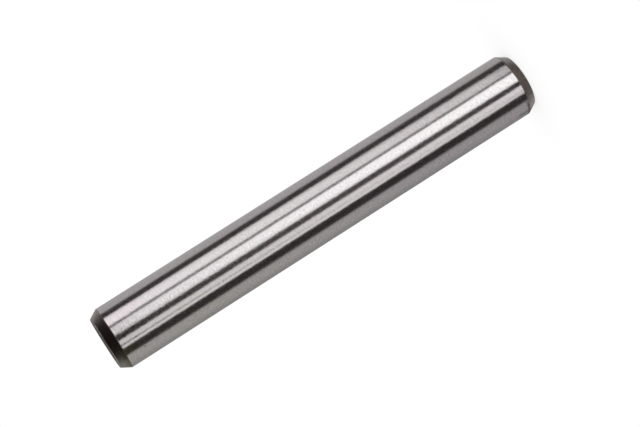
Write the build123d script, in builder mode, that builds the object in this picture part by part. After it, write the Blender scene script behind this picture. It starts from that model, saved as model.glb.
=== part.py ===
# A dowel pin: one bar of hardened steel, ground round and parallel, with a chamfer turned on each end
# that leads it into its hole. It stands on its lower end face: the origin is at the centre of that
# face and +Z runs along the pin's axis. Lengths are in millimetres.
import os
from math import radians, tan

from build123d import *

# The ground body: a 3/8 inch pin, 2 3/4 inches from end face to end face
pin_diameter = 9.525
pin_length = 69.85

# The lead-in chamfer, the same on both ends: its length along the axis and its angle to the axis
chamfer_length = 1.42
chamfer_angle = 30.0

# The soft shoulder where the wheel runs out on to the chamfer, and the broken edge round each end face
shoulder_radius = 0.4
rim_radius = 0.15

# Worked out from the driving dimensions
body_radius = pin_diameter / 2
chamfer_depth = chamfer_length * tan(radians(chamfer_angle))
end_radius = body_radius - chamfer_depth

# The bar is turned from half of its lengthwise section, with the rims and the shoulders rounded
with BuildPart() as dowel_pin:
    with BuildSketch(Plane.XZ) as half_section:
        with BuildLine():
            Polyline(
                (0, 0),
                (end_radius, 0),
                (body_radius, chamfer_length),
                (body_radius, pin_length - chamfer_length),
                (end_radius, pin_length),
                (0, pin_length),
                close=True,
            )
        make_face()
        # Outwards from the corners on the axis come the rims, and then the shoulders
        rims = half_section.vertices().group_by(Axis.X)[1]
        fillet(rims, radius=rim_radius)
        shoulders = half_section.vertices().group_by(Axis.X)[-1]
        fillet(shoulders, radius=shoulder_radius)
    revolve(axis=Axis.Z)

os.makedirs("parts", exist_ok=True)
dowel_pin.part.label = "dowel_pin"
export_step(dowel_pin.part, "parts/dowel_pin.step")
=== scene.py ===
import math

import bpy
from mathutils import Matrix, Vector


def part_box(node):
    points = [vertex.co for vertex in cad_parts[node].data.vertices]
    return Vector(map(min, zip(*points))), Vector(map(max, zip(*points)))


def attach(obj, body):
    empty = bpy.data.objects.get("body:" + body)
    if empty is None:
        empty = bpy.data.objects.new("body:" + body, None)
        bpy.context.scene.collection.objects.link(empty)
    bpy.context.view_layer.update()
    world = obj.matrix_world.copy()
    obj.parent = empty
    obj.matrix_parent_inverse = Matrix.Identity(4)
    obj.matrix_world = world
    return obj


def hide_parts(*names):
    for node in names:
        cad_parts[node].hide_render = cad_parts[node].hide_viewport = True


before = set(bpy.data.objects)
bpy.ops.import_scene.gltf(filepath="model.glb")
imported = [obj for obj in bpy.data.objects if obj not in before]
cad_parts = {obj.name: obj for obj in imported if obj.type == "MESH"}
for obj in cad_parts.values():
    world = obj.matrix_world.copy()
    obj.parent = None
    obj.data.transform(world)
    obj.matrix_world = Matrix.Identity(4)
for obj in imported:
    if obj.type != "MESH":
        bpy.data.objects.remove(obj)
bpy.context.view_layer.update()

MM = 0.001

# The pin's sizes, in metres: its reach is the frame's, the chamfers are the CAD part's
pin_low, pin_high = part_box("dowel_pin")
pin_length = pin_high.z - pin_low.z
body_radius = (pin_high.x - pin_low.x) / 2
chamfer_length = 1.42 * MM
chamfer_angle = math.radians(30)
shoulder_radius = 0.4 * MM
rim_radius = 0.15 * MM
end_radius = body_radius - chamfer_length * math.tan(chamfer_angle)
pin_middle = Vector((0, 0, pin_length / 2))

# How finely the pin is modelled
round_sides = 320
body_rings = 14
round_steps = 5
face_rings = 5

# How its edges and faces are told apart: edges by their place, to a hair, and faces by the share of
# their normal along the pin, which is larger than this on an end face and smaller on the ground body
hair = 0.001 * MM
end_face_normal = 0.99
ground_body_normal = math.sin(chamfer_angle / 4)

# Colours of the ground body: two steels in soft clouds, a pinker patch, oil on the steel, and pits
clear_steel = (0.786, 0.727, 0.745, 1)
grey_steel = (0.777, 0.7365, 0.740, 1)
pink_steel = (0.787, 0.72, 0.742, 1)
oiled_steel = (0.78, 0.75, 0.695, 1)
olive_oil = (0.70, 0.71, 0.43, 1)
pit_brown = (0.2, 0.15, 0.14, 1)

# Colours of the chamfers and end faces: two browner steels, oil on the chamfer, and the faced end
brown_steel = (0.44, 0.385, 0.38, 1)
dull_steel = (0.45, 0.41, 0.385, 1)
oiled_chamfer = (0.44, 0.42, 0.355, 1)
oiled_shoulder = (0.28, 0.26, 0.18, 1)
faced_steel = (0.78, 0.735, 0.71, 1)

# A darker brown, for the marks by the lower shoulder
shoulder_brown = (0.24, 0.165, 0.16, 1)

# How fine the patterns on the ground body are, in repeats to a millimetre. A stretch is the share of
# that along the pin, and a pit's edge is in shares of a repeat.
marks_round = 2.6
marks_along = 4.5
grit_scale = 5.6
film_scale = 2.0
ripple_scale = 1.6
ripple_stretch = 0.5
cloud_scale = 0.35
cloud_stretch = 0.3
pit_scale = 0.4
pit_edge = (0.052, 0.03)

# How fine the patterns on the chamfers and end faces are
ring_scale = 3
grain_scale = 3.5
patch_scale = 0.8

# Which part of a noise each pattern uses, and how it shades the steel and roughens it
noise_reach = (0.3, 0.7)
wide_reach = (0.2, 0.8)
cloud_reach = (0.35, 0.65)
ripple_reach = (0.25, 0.6)
film_reach = (0.4, 0.66)
mark_shades = (0.94, 1.06)
grit_shades = (0.86, 1.14)
grain_shades = (0.72, 1.26)
ring_shades = (0.8, 1.15)
ground_roughness = (0.12, 0.26)
pit_roughness = 0.2
turned_roughness = (0.20, 0.26)
face_smoothing = 0.04
bump_depth = 0.1 * MM

# Where the pinker patch, the oil and the darker brown marks lie, in millimetres: across the pin and
# along it from the frame's origin, or along it from a shoulder. Each pair says where an edge starts and
# where it ends.
pink_height = (55, 68)
pink_near = (-0.2, 0.3)
pink_far = (3.3, 2.9)
film_side = (-1.5, 3.5)
film_height = (20, 58)
olive_length = 3
olive_near = (1.9, 2.2)
olive_far = (2.95, 2.7)
olive_front = (1, 2)
brown_scale = 1.7
brown_uneven = 0.4
line_rise = 0.2
line_side = (2.7, 3.7)
line_edge = (0.56, 0.2)
darker_patch_near = (4.0, 4.25)
darker_patch_far = (4.6, 4.4)
darker_patch_reach = (2.6, 1.8)
darker_patch_strength = 0.4

# The light tent, in metres. Angles in it are in degrees round the pin, from the camera's side, and
# heights are in degrees above level.
tent_radius = 20
tent_sides = 64
tent_rings = 32
in_degrees = math.degrees(1)

# The cards in the tent. Each has the angle where it starts, at the top and at the foot of the cards,
# the softness of that edge, its tint, and its brightness at the top, halfway and at the foot.
cool = (0.978, 1, 1)
plain = (1, 1, 1)
warm = (1, 0.84, 0.855)
card_top, card_middle, card_foot = -1, -9, -21
studio_cards = [
    # Behind the pin, and grey round one side
    (-180, -180, 0, plain, 0.06, 0.62, 0.82),
    (-170, -157, 8, plain, 0.42, 0.42, 0.41),
    # A dark gap, and a pale card that is dimmer at its edge
    (-103.5, -103.6, 6, warm, 0.043, 0.043, 0.035),
    (-78.9, -74.2, 2, plain, 0.91, 0.75, 0.27),
    (-71, -68.5, 7, plain, 1.12, 0.99, 0.35),
    # A narrow gap, and the white card in front, in two widths
    (-43.5, -44.2, 1, plain, 0.23, 0.28, 0.12),
    (-33.2, -35.2, 1, cool, 0.67, 1.49, 1.22),
    (-11, -9, 5, cool, 0.46, 1.30, 1.25),
    # A dark gap, and a pale card with a crease in it
    (-4.4, 0.1, 1.2, warm, 0.0, 0.138, 0.0),
    (17.1, 17.8, 1.5, plain, 0.70, 0.86, 0.87),
    (32.5, 32.5, 1, plain, 0.0, 0.90, 0.67),
    (38.5, 38.5, 1, plain, 0.80, 1.04, 0.60),
    # A dark gap, grey round the other side, and behind the pin again
    (46.5, 47.2, 1, warm, 0.029, 0.030, 0.026),
    (78.5, 78.5, 6, plain, 0.39, 0.38, 0.29),
    (125, 125, 25, plain, 0.265, 0.26, 0.25),
    (175, 175, 4, plain, 0.06, 0.60, 0.80),
]

# The room above the cards: its greys, the angles where they meet, and where it starts
room_dim = 0.17
room_pale = 0.33
room_turn = (85, 120)
room_rise = (100, 150)
room_starts = (10, 18)
room_soft = 12

# The dark arch and the pale ceiling. A lean is that of a wall which mirrors a place to the front, and
# the ceiling's sides count from 0 in the middle to 1.
front_height = math.radians(2.5)
arch_sides = (-60, 60)
arch_foot = 17
arch_tops = (48, 54.5)
arch_lean = (0.2, 0.36)
arch_red = (0.012, 0.006, 0.007, 1)
arch_olive = (0.008, 0.007, 0.004, 1)
ceiling_sides = (0.3, 0.55)
ceiling_lean = (0.66, 0.60)
ceiling_soft = 0.16
ceiling_height = (18, 32)
ceiling_middle = (0.08, 0.28)
ceiling_dim = 0.21
ceiling_pale = 1.0

# The ground behind the pin, and the room underneath
ground_height = (-24, -33)
ground_turn = (95, 125)
ground_pale = 0.47
underneath_height = (-32, -68)
underneath_brown = (0.192, 0.177, 0.163, 1)

# The floor and the lamp over it
floor_size = 40
floor_paper = 0.92
floor_glow = 0.8
lamp_strength = 3.8
lamp_spread = math.radians(120)

# The camera: it looks down a little on the upper end, turned so that the pin lies across the picture
picture_width = 640
sensor_width = 36
focal_pixels = 2090
camera_distance = 294 * MM
camera_elevation = math.radians(9.1)
camera_roll = math.radians(-122.48)
aim_right = 0.56 * MM
aim_down = 0.54 * MM
nearest_seen = 10 * MM
farthest_seen = 50

# Where a Mix node keeps its sockets for colours
mix_amount, mix_first, mix_second, mix_colour = 0, 6, 7, 2


class Value:
    """A socket of a node tree. Sums on it add Math nodes."""

    def __init__(self, nodes, socket):
        self.nodes = nodes
        self.socket = socket

    def math(self, operation, *values):
        return self.nodes.add("Math", {"operation": operation}, dict(enumerate(values)))

    def __add__(self, other):
        return self.math("ADD", self, other)

    def __radd__(self, other):
        return self.math("ADD", other, self)

    def __sub__(self, other):
        return self.math("SUBTRACT", self, other)

    def __rsub__(self, other):
        return self.math("SUBTRACT", other, self)

    def __mul__(self, other):
        return self.math("MULTIPLY", self, other)

    def __rmul__(self, other):
        return self.math("MULTIPLY", other, self)

    def __neg__(self):
        return self.math("MULTIPLY", self, -1)

    def __abs__(self):
        return self.math("ABSOLUTE", self)


class Nodes:
    """A node tree that is filled one node at a time."""

    def __init__(self, owner):
        owner.use_nodes = True
        self.tree = owner.node_tree
        self.tree.nodes.clear()

    def add(self, kind, settings=None, sockets=None, output=0):
        """Adds a node by its type, its settings, and the values or links of its sockets."""
        node = self.tree.nodes.new("ShaderNode" + kind)
        for name, setting in (settings or {}).items():
            setattr(node, name, setting)
        for name, value in (sockets or {}).items():
            if isinstance(value, Value):
                self.tree.links.new(value.socket, node.inputs[name])
            else:
                node.inputs[name].default_value = value
        return Value(self, node.outputs[output]) if node.outputs else None

    def blend(self, amount, first, second, way="MIX"):
        """Goes from the first colour to the second."""
        settings = {"data_type": "RGBA", "blend_type": way}
        sockets = {mix_amount: amount, mix_first: first, mix_second: second}
        return self.add("Mix", settings, sockets, mix_colour)

    def shade(self, colour, bright):
        """Makes a colour brighter or darker."""
        scale = self.add("CombineColor", None, {0: bright, 1: bright, 2: bright})
        return self.blend(1, colour, scale, "MULTIPLY")

    def span(self, value, low, high, to_low=0, to_high=1, smooth=True):
        """Carries a value from one span to another, and stops at its ends."""
        kind = "SMOOTHSTEP" if smooth else "LINEAR"
        ends = enumerate((value, low, high, to_low, to_high))
        return self.add("MapRange", {"interpolation_type": kind}, dict(ends))

    def strip(self, value, near, far):
        """One between two soft edges, and nothing outside them."""
        return self.span(value, *near) * self.span(value, *far)

    def place(self):
        """The three Object coordinates, in millimetres."""
        metres = self.add("TexCoord", output="Object")
        scaled = self.add("VectorMath", {"operation": "SCALE"}, {0: metres, "Scale": 1 / MM})
        return self.parts(scaled)

    def parts(self, vector):
        return [self.add("SeparateXYZ", None, {0: vector}, axis) for axis in range(3)]

    def vector(self, x, y, z):
        return self.add("CombineXYZ", None, {0: x, 1: y, 2: z})

    def unit(self, vector):
        return self.add("VectorMath", {"operation": "NORMALIZE"}, {0: vector})

    def noise(self, where, scale=1, detail=2, roughness=0.5):
        sockets = {"Vector": where, "Scale": scale, "Detail": detail, "Roughness": roughness}
        return self.add("TexNoise", None, sockets)

    def shown(self):
        """One for rays that show the background: the camera's, mirrored ones and those in glass."""
        kinds = ("Is Camera Ray", "Is Glossy Ray", "Is Transmission Ray")
        camera, mirrored, through = [self.add("LightPath", output=kind) for kind in kinds]
        return self.span(camera + mirrored + through, 0, 1, smooth=False)


def edges_where(mesh, test):
    """Selects the edges whose two ends both pass the test, and nothing else."""
    for corner in mesh.vertices:
        corner.select = False
    for face in mesh.polygons:
        face.select = False
    for edge in mesh.edges:
        edge.select = all(test(mesh.vertices[end].co) for end in edge.vertices)


def faces_where(mesh, test):
    """Selects the faces that pass the test, and nothing else."""
    for corner in mesh.vertices:
        corner.select = False
    for edge in mesh.edges:
        edge.select = False
    for face in mesh.polygons:
        face.select = test(face)


def lift_end(height, widen=1):
    """Draws the selected end of the bar up by a height, and makes it wider or narrower."""
    bpy.ops.mesh.extrude_region_move(TRANSFORM_OT_translate={"value": (0, 0, height)})
    bpy.ops.transform.resize(value=(widen, widen, 1))


def round_edges(pin, on_edge, radius, turn):
    """Rounds a pair of edges where the wall turns by an angle."""
    edges_where(pin.data, on_edge)
    bpy.ops.object.mode_set(mode="EDIT")
    bpy.ops.mesh.select_mode(type="EDGE")
    bpy.ops.mesh.bevel(offset=radius * math.tan(turn / 2), segments=round_steps, profile=0.5)
    bpy.ops.object.mode_set(mode="OBJECT")


def on_rim(spot):
    at_end = spot.z < hair or spot.z > pin_length - hair
    return at_end and math.hypot(spot.x, spot.y) > end_radius - hair


def on_shoulder(spot):
    from_end = min(spot.z, pin_length - spot.z)
    return abs(from_end - chamfer_length) < hair


def turn_pin():
    """The pin, drawn up from its lower end face: chamfer, ground body, chamfer."""
    bpy.ops.object.select_all(action="DESELECT")
    bpy.ops.mesh.primitive_circle_add(vertices=round_sides, radius=end_radius, fill_type="NGON")
    pin = bpy.context.active_object
    pin.name = pin.data.name = "ground_pin"
    bpy.ops.object.mode_set(mode="EDIT")
    bpy.ops.mesh.select_mode(type="FACE")
    bpy.ops.mesh.select_all(action="SELECT")
    lift_end(chamfer_length, body_radius / end_radius)
    body_length = pin_length - 2 * chamfer_length
    for _ in range(body_rings):
        lift_end(body_length / body_rings)
    lift_end(chamfer_length, end_radius / body_radius)
    bpy.ops.mesh.select_all(action="SELECT")
    bpy.ops.mesh.normals_make_consistent(inside=False)
    bpy.ops.object.mode_set(mode="OBJECT")

    # The end faces get rings, so that they aren't one flat polygon
    faces_where(pin.data, lambda face: abs(face.normal.z) > end_face_normal)
    bpy.ops.object.mode_set(mode="EDIT")
    bpy.ops.mesh.select_mode(type="FACE")
    for _ in range(face_rings):
        bpy.ops.mesh.inset(thickness=end_radius / (face_rings + 1))
    bpy.ops.mesh.poke()
    bpy.ops.object.mode_set(mode="OBJECT")

    round_edges(pin, on_rim, rim_radius, math.radians(90) - chamfer_angle)
    round_edges(pin, on_shoulder, shoulder_radius, chamfer_angle)

    bpy.ops.object.shade_smooth()
    weights = pin.modifiers.new("even_shading", "WEIGHTED_NORMAL")
    bpy.ops.object.modifier_apply(modifier=weights.name)
    return pin


def oil_film(nodes, x, z):
    """A faint olive film of oil, on one side of the pin towards its upper end."""
    return nodes.span(-x, *film_side) * nodes.span(z, *film_height)


def olive_edge(nodes, x, y, z):
    """Oil that has gathered at one place inside the upper shoulder."""
    shoulder = (pin_length - chamfer_length) / MM
    below = nodes.span(z, shoulder - olive_length, shoulder)
    return below * nodes.strip(-x, olive_near, olive_far) * nodes.span(-y, *olive_front)


def brown_marks(nodes, x, y, z):
    """Darker brown on one side: an uneven line along the lower shoulder, and a faint darker patch
    inside it.
    """
    above = z - chamfer_length / MM
    uneven = nodes.noise(nodes.vector(x, y, z), brown_scale, detail=3, roughness=0.6) * brown_uneven
    line = nodes.span(-x, *line_side) * nodes.span(abs(above - line_rise) + uneven, *line_edge)
    darker_patch = nodes.strip(-x, darker_patch_near, darker_patch_far) * nodes.span(above + uneven, *darker_patch_reach)
    return line.math("MAXIMUM", line, darker_patch * darker_patch_strength)


def ground_steel():
    """Hardened steel, ground between wheels: bright, with fine marks that run round the pin."""
    material = bpy.data.materials.new("ground_steel")
    nodes = Nodes(material)
    x, y, z = nodes.place()
    spot = nodes.vector(x, y, z)
    ground = nodes.vector(x * marks_round, y * marks_round, z * marks_along)
    marks = nodes.noise(ground, detail=3, roughness=0.6)
    grit = nodes.noise(spot, grit_scale, detail=1)
    film = nodes.noise(spot, film_scale, roughness=0.75)
    ripples = nodes.noise(nodes.vector(x, y, z * ripple_stretch), ripple_scale)
    clouds = nodes.noise(nodes.vector(x, y, z * cloud_stretch), cloud_scale, detail=3)
    pits = nodes.span(nodes.add("TexVoronoi", None, {"Vector": spot, "Scale": pit_scale}), *pit_edge)

    steel = nodes.blend(nodes.span(clouds, *cloud_reach), clear_steel, grey_steel)
    pink = nodes.span(z, *pink_height) * nodes.strip(x, pink_near, pink_far)
    steel = nodes.blend(pink, steel, pink_steel)
    oiled = oil_film(nodes, x, z) * nodes.span(ripples, *ripple_reach)
    steel = nodes.blend(oiled, steel, oiled_steel)
    steel = nodes.blend(olive_edge(nodes, x, y, z), steel, olive_oil)
    steel = nodes.shade(steel, nodes.span(marks, *noise_reach, *mark_shades, smooth=False))
    steel = nodes.shade(steel, nodes.span(grit, *noise_reach, *grit_shades, smooth=False))
    # Darker brown marks on one side, along the lower shoulder
    steel = nodes.blend(brown_marks(nodes, x, y, z), steel, shoulder_brown)
    steel = nodes.blend(pits, steel, pit_brown)

    rough = nodes.span(grit, *noise_reach, *ground_roughness, smooth=False)
    waves = {"Strength": 0.03, "Distance": bump_depth, "Height": ripples}
    scratches = {"Strength": 0.08, "Distance": bump_depth, "Height": marks}
    scratches["Normal"] = nodes.add("Bump", None, waves)
    metal = nodes.add("BsdfPrincipled", None, {
        "Base Color": steel,
        "Metallic": 1,
        "Roughness": rough + pits * pit_roughness,
        "Anisotropic": 0.8,
        "Anisotropic Rotation": 0.25,
        "Coat Weight": nodes.span(film, *film_reach, smooth=False),
        "Coat Roughness": 0.6,
        "Normal": nodes.add("Bump", None, scratches),
    })
    nodes.add("OutputMaterial", None, {"Surface": metal})
    return material


def turned_steel():
    """The chamfers and end faces, as the lathe and the furnace leave them: darker and browner."""
    material = bpy.data.materials.new("turned_steel")
    nodes = Nodes(material)
    x, y, z = nodes.place()
    spot = nodes.vector(x, y, z)
    radius = x.math("SQRT", x * x + y * y)
    rings = nodes.noise(nodes.vector(radius, z, 0), ring_scale, detail=4, roughness=0.7)
    grain = nodes.noise(spot, grain_scale, roughness=0.6)
    patches = nodes.noise(spot, patch_scale, detail=3, roughness=0.6)
    film = oil_film(nodes, x, z)
    mid_chamfer = (pin_length - chamfer_length / 2) / MM
    upper_shoulder = (pin_length - chamfer_length) / MM

    chamfer = nodes.blend(nodes.span(patches, *cloud_reach), brown_steel, dull_steel)
    chamfer = nodes.blend(film, chamfer, oiled_chamfer)
    chamfer = nodes.blend(film * nodes.span(z, mid_chamfer, upper_shoulder), chamfer, oiled_shoulder)
    chamfer = nodes.shade(chamfer, nodes.span(grain, *noise_reach, *grain_shades, smooth=False))
    # Darker brown marks on one side, along the lower shoulder
    chamfer = nodes.blend(brown_marks(nodes, x, y, z), chamfer, shoulder_brown)
    faced = nodes.shade(faced_steel, nodes.span(rings, *noise_reach, *ring_shades, smooth=False))
    on_face = nodes.span(radius, end_radius / MM, (end_radius - rim_radius) / MM)

    relief = {"Strength": 0.1, "Distance": bump_depth, "Height": rings}
    metal = nodes.add("BsdfPrincipled", None, {
        "Base Color": nodes.blend(on_face, chamfer, faced),
        "Metallic": 1,
        "Roughness": nodes.span(rings, *wide_reach, *turned_roughness) - on_face * face_smoothing,
        "Anisotropic": 0.4,
        "Anisotropic Rotation": 0.25,
        "Normal": nodes.add("Bump", None, relief),
    })
    nodes.add("OutputMaterial", None, {"Surface": metal})
    return material


def grey(level, tint=plain):
    return (level * tint[0], level * tint[1], level * tint[2], 1)


def hang_cards(nodes, angle, height):
    """The cards, one after another round the pin."""
    upper = nodes.span(height, card_top, card_middle, smooth=False)
    lower = nodes.span(height, card_middle, card_foot, smooth=False)
    down = nodes.span(height, card_top, card_foot, smooth=False)
    hung = None
    for start_above, start_below, soft, tint, above, halfway, below in studio_cards:
        card = nodes.blend(upper, grey(above, tint), grey(halfway, tint))
        card = nodes.blend(lower, card, grey(below, tint))
        start = start_above + down * (start_below - start_above)
        passed = nodes.span(angle - start, -soft, soft)
        hung = nodes.blend(passed, hung, card) if hung else card
    return hung


def add_room(nodes, studio, angle, height):
    """Above the cards the room is plain grey, and dimmer on the camera's side."""
    room = nodes.blend(nodes.span(abs(angle), *room_turn), grey(room_dim), grey(room_pale))
    start = nodes.span(abs(angle), *room_rise, *room_starts)
    return nodes.blend(nodes.span(height, start, start + room_soft), studio, room)


def add_ceiling(nodes, studio, way, angle, height):
    """What walls that lean back mirror to the front: a dark arch, and a pale ceiling above it."""
    front = (0, -math.cos(front_height), math.sin(front_height))
    halfway = nodes.unit(nodes.add("VectorMath", {"operation": "ADD"}, {0: way, 1: front}))
    lean = nodes.parts(halfway)[2]
    aside = abs(nodes.parts(way)[0])

    arch_top = nodes.span(angle, *arch_sides, *arch_tops)
    arch = nodes.span(lean, *arch_lean) * nodes.span(height, arch_foot, arch_top)
    dark = nodes.blend(nodes.span(angle, *arch_sides), arch_red, arch_olive)
    studio = nodes.blend(arch, studio, dark)

    start = nodes.span(aside, *ceiling_sides, *ceiling_lean)
    ceiling = nodes.span(lean, start, start + ceiling_soft) * nodes.span(height, *ceiling_height)
    pale = nodes.blend(nodes.span(aside, *ceiling_middle), grey(ceiling_dim), grey(ceiling_pale))
    return nodes.blend(ceiling, studio, pale)


def add_ground(nodes, studio, angle, height):
    """Pale ground behind the pin, and a brown room underneath, which the lower chamfer mirrors."""
    ground = nodes.span(height, *ground_height) * nodes.span(abs(angle), *ground_turn)
    studio = nodes.blend(ground, studio, grey(ground_pale))
    return nodes.blend(nodes.span(height, *underneath_height), studio, underneath_brown)


def raise_tent():
    """A light tent round the pin, seen by mirrored rays alone."""
    bpy.ops.object.select_all(action="DESELECT")
    bpy.ops.mesh.primitive_uv_sphere_add(segments=tent_sides, ring_count=tent_rings, radius=tent_radius)
    tent = bpy.context.active_object
    tent.name = "light_tent"
    material = bpy.data.materials.new("tent_cards")
    nodes = Nodes(material)
    way = nodes.unit(nodes.add("TexCoord", output="Object"))
    x, y, z = nodes.parts(way)
    angle = x.math("ARCTAN2", -x, -y) * in_degrees
    height = z.math("ARCSINE", z) * in_degrees
    studio = hang_cards(nodes, angle, height)
    studio = add_room(nodes, studio, angle, height)
    studio = add_ceiling(nodes, studio, way, angle, height)
    studio = add_ground(nodes, studio, angle, height)
    glow = nodes.add("Emission", None, {"Color": studio, "Strength": 1})
    nodes.add("OutputMaterial", None, {"Surface": glow})
    tent.data.materials.append(material)
    tent.visible_camera = False
    tent.visible_diffuse = False
    tent.visible_transmission = False
    tent.visible_shadow = False


def light_studio():
    """A white background, and one wide soft lamp over the floor."""
    world = bpy.data.worlds.new("white_background")
    bpy.context.scene.world = world
    nodes = Nodes(world)
    white = nodes.add("Background", None, {"Color": nodes.blend(nodes.shown(), grey(0), grey(1))})
    nodes.add("OutputWorld", None, {"Surface": white})

    lamp = bpy.data.lights.new("overhead_light", "SUN")
    lamp.energy = lamp_strength
    lamp.angle = lamp_spread
    overhead = bpy.data.objects.new("overhead_light", lamp)
    overhead.visible_glossy = False
    bpy.context.scene.collection.objects.link(overhead)


def lay_floor():
    """A pale floor that keeps the pin's shadow. What the pin mirrors below it is the tent."""
    bpy.ops.object.select_all(action="DESELECT")
    bpy.ops.mesh.primitive_plane_add(size=floor_size)
    floor = bpy.context.active_object
    floor.name = "floor"
    material = bpy.data.materials.new("pale_floor")
    nodes = Nodes(material)
    paper = nodes.add("BsdfDiffuse", None, {"Color": grey(floor_paper)})
    glow = nodes.add("Emission", None, {"Color": grey(1), "Strength": 1})
    both = nodes.add("MixShader", None, {0: nodes.shown() * floor_glow, 1: paper, 2: glow})
    nodes.add("OutputMaterial", None, {"Surface": both})
    floor.data.materials.append(material)
    floor.visible_glossy = False


def place_camera():
    """The camera, aimed near the pin's middle from its front."""
    lens = bpy.data.cameras.new("camera")
    lens.sensor_width = sensor_width
    lens.lens = focal_pixels * sensor_width / picture_width
    lens.clip_start = nearest_seen
    lens.clip_end = farthest_seen
    camera = bpy.data.objects.new("camera", lens)
    back = Vector((0, -math.cos(camera_elevation), math.sin(camera_elevation)))
    right = Vector((1, 0, 0))
    up = back.cross(right)
    turned_right = math.cos(camera_roll) * right + math.sin(camera_roll) * up
    turned_up = math.cos(camera_roll) * up - math.sin(camera_roll) * right
    place = pin_middle + camera_distance * back + aim_right * turned_right - aim_down * turned_up
    axes = Matrix((turned_right, turned_up, back)).transposed().to_4x4()
    camera.matrix_world = Matrix.Translation(place) @ axes
    bpy.context.scene.collection.objects.link(camera)
    bpy.context.scene.camera = camera


pin = turn_pin()
pin.data.materials.append(ground_steel())
pin.data.materials.append(turned_steel())
for face in pin.data.polygons:
    face.material_index = 0 if abs(face.normal.z) < ground_body_normal else 1
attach(pin, "root")
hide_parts("dowel_pin")

lay_floor()
raise_tent()
light_studio()
place_camera()
bpy.context.scene.view_settings.view_transform = "Standard"
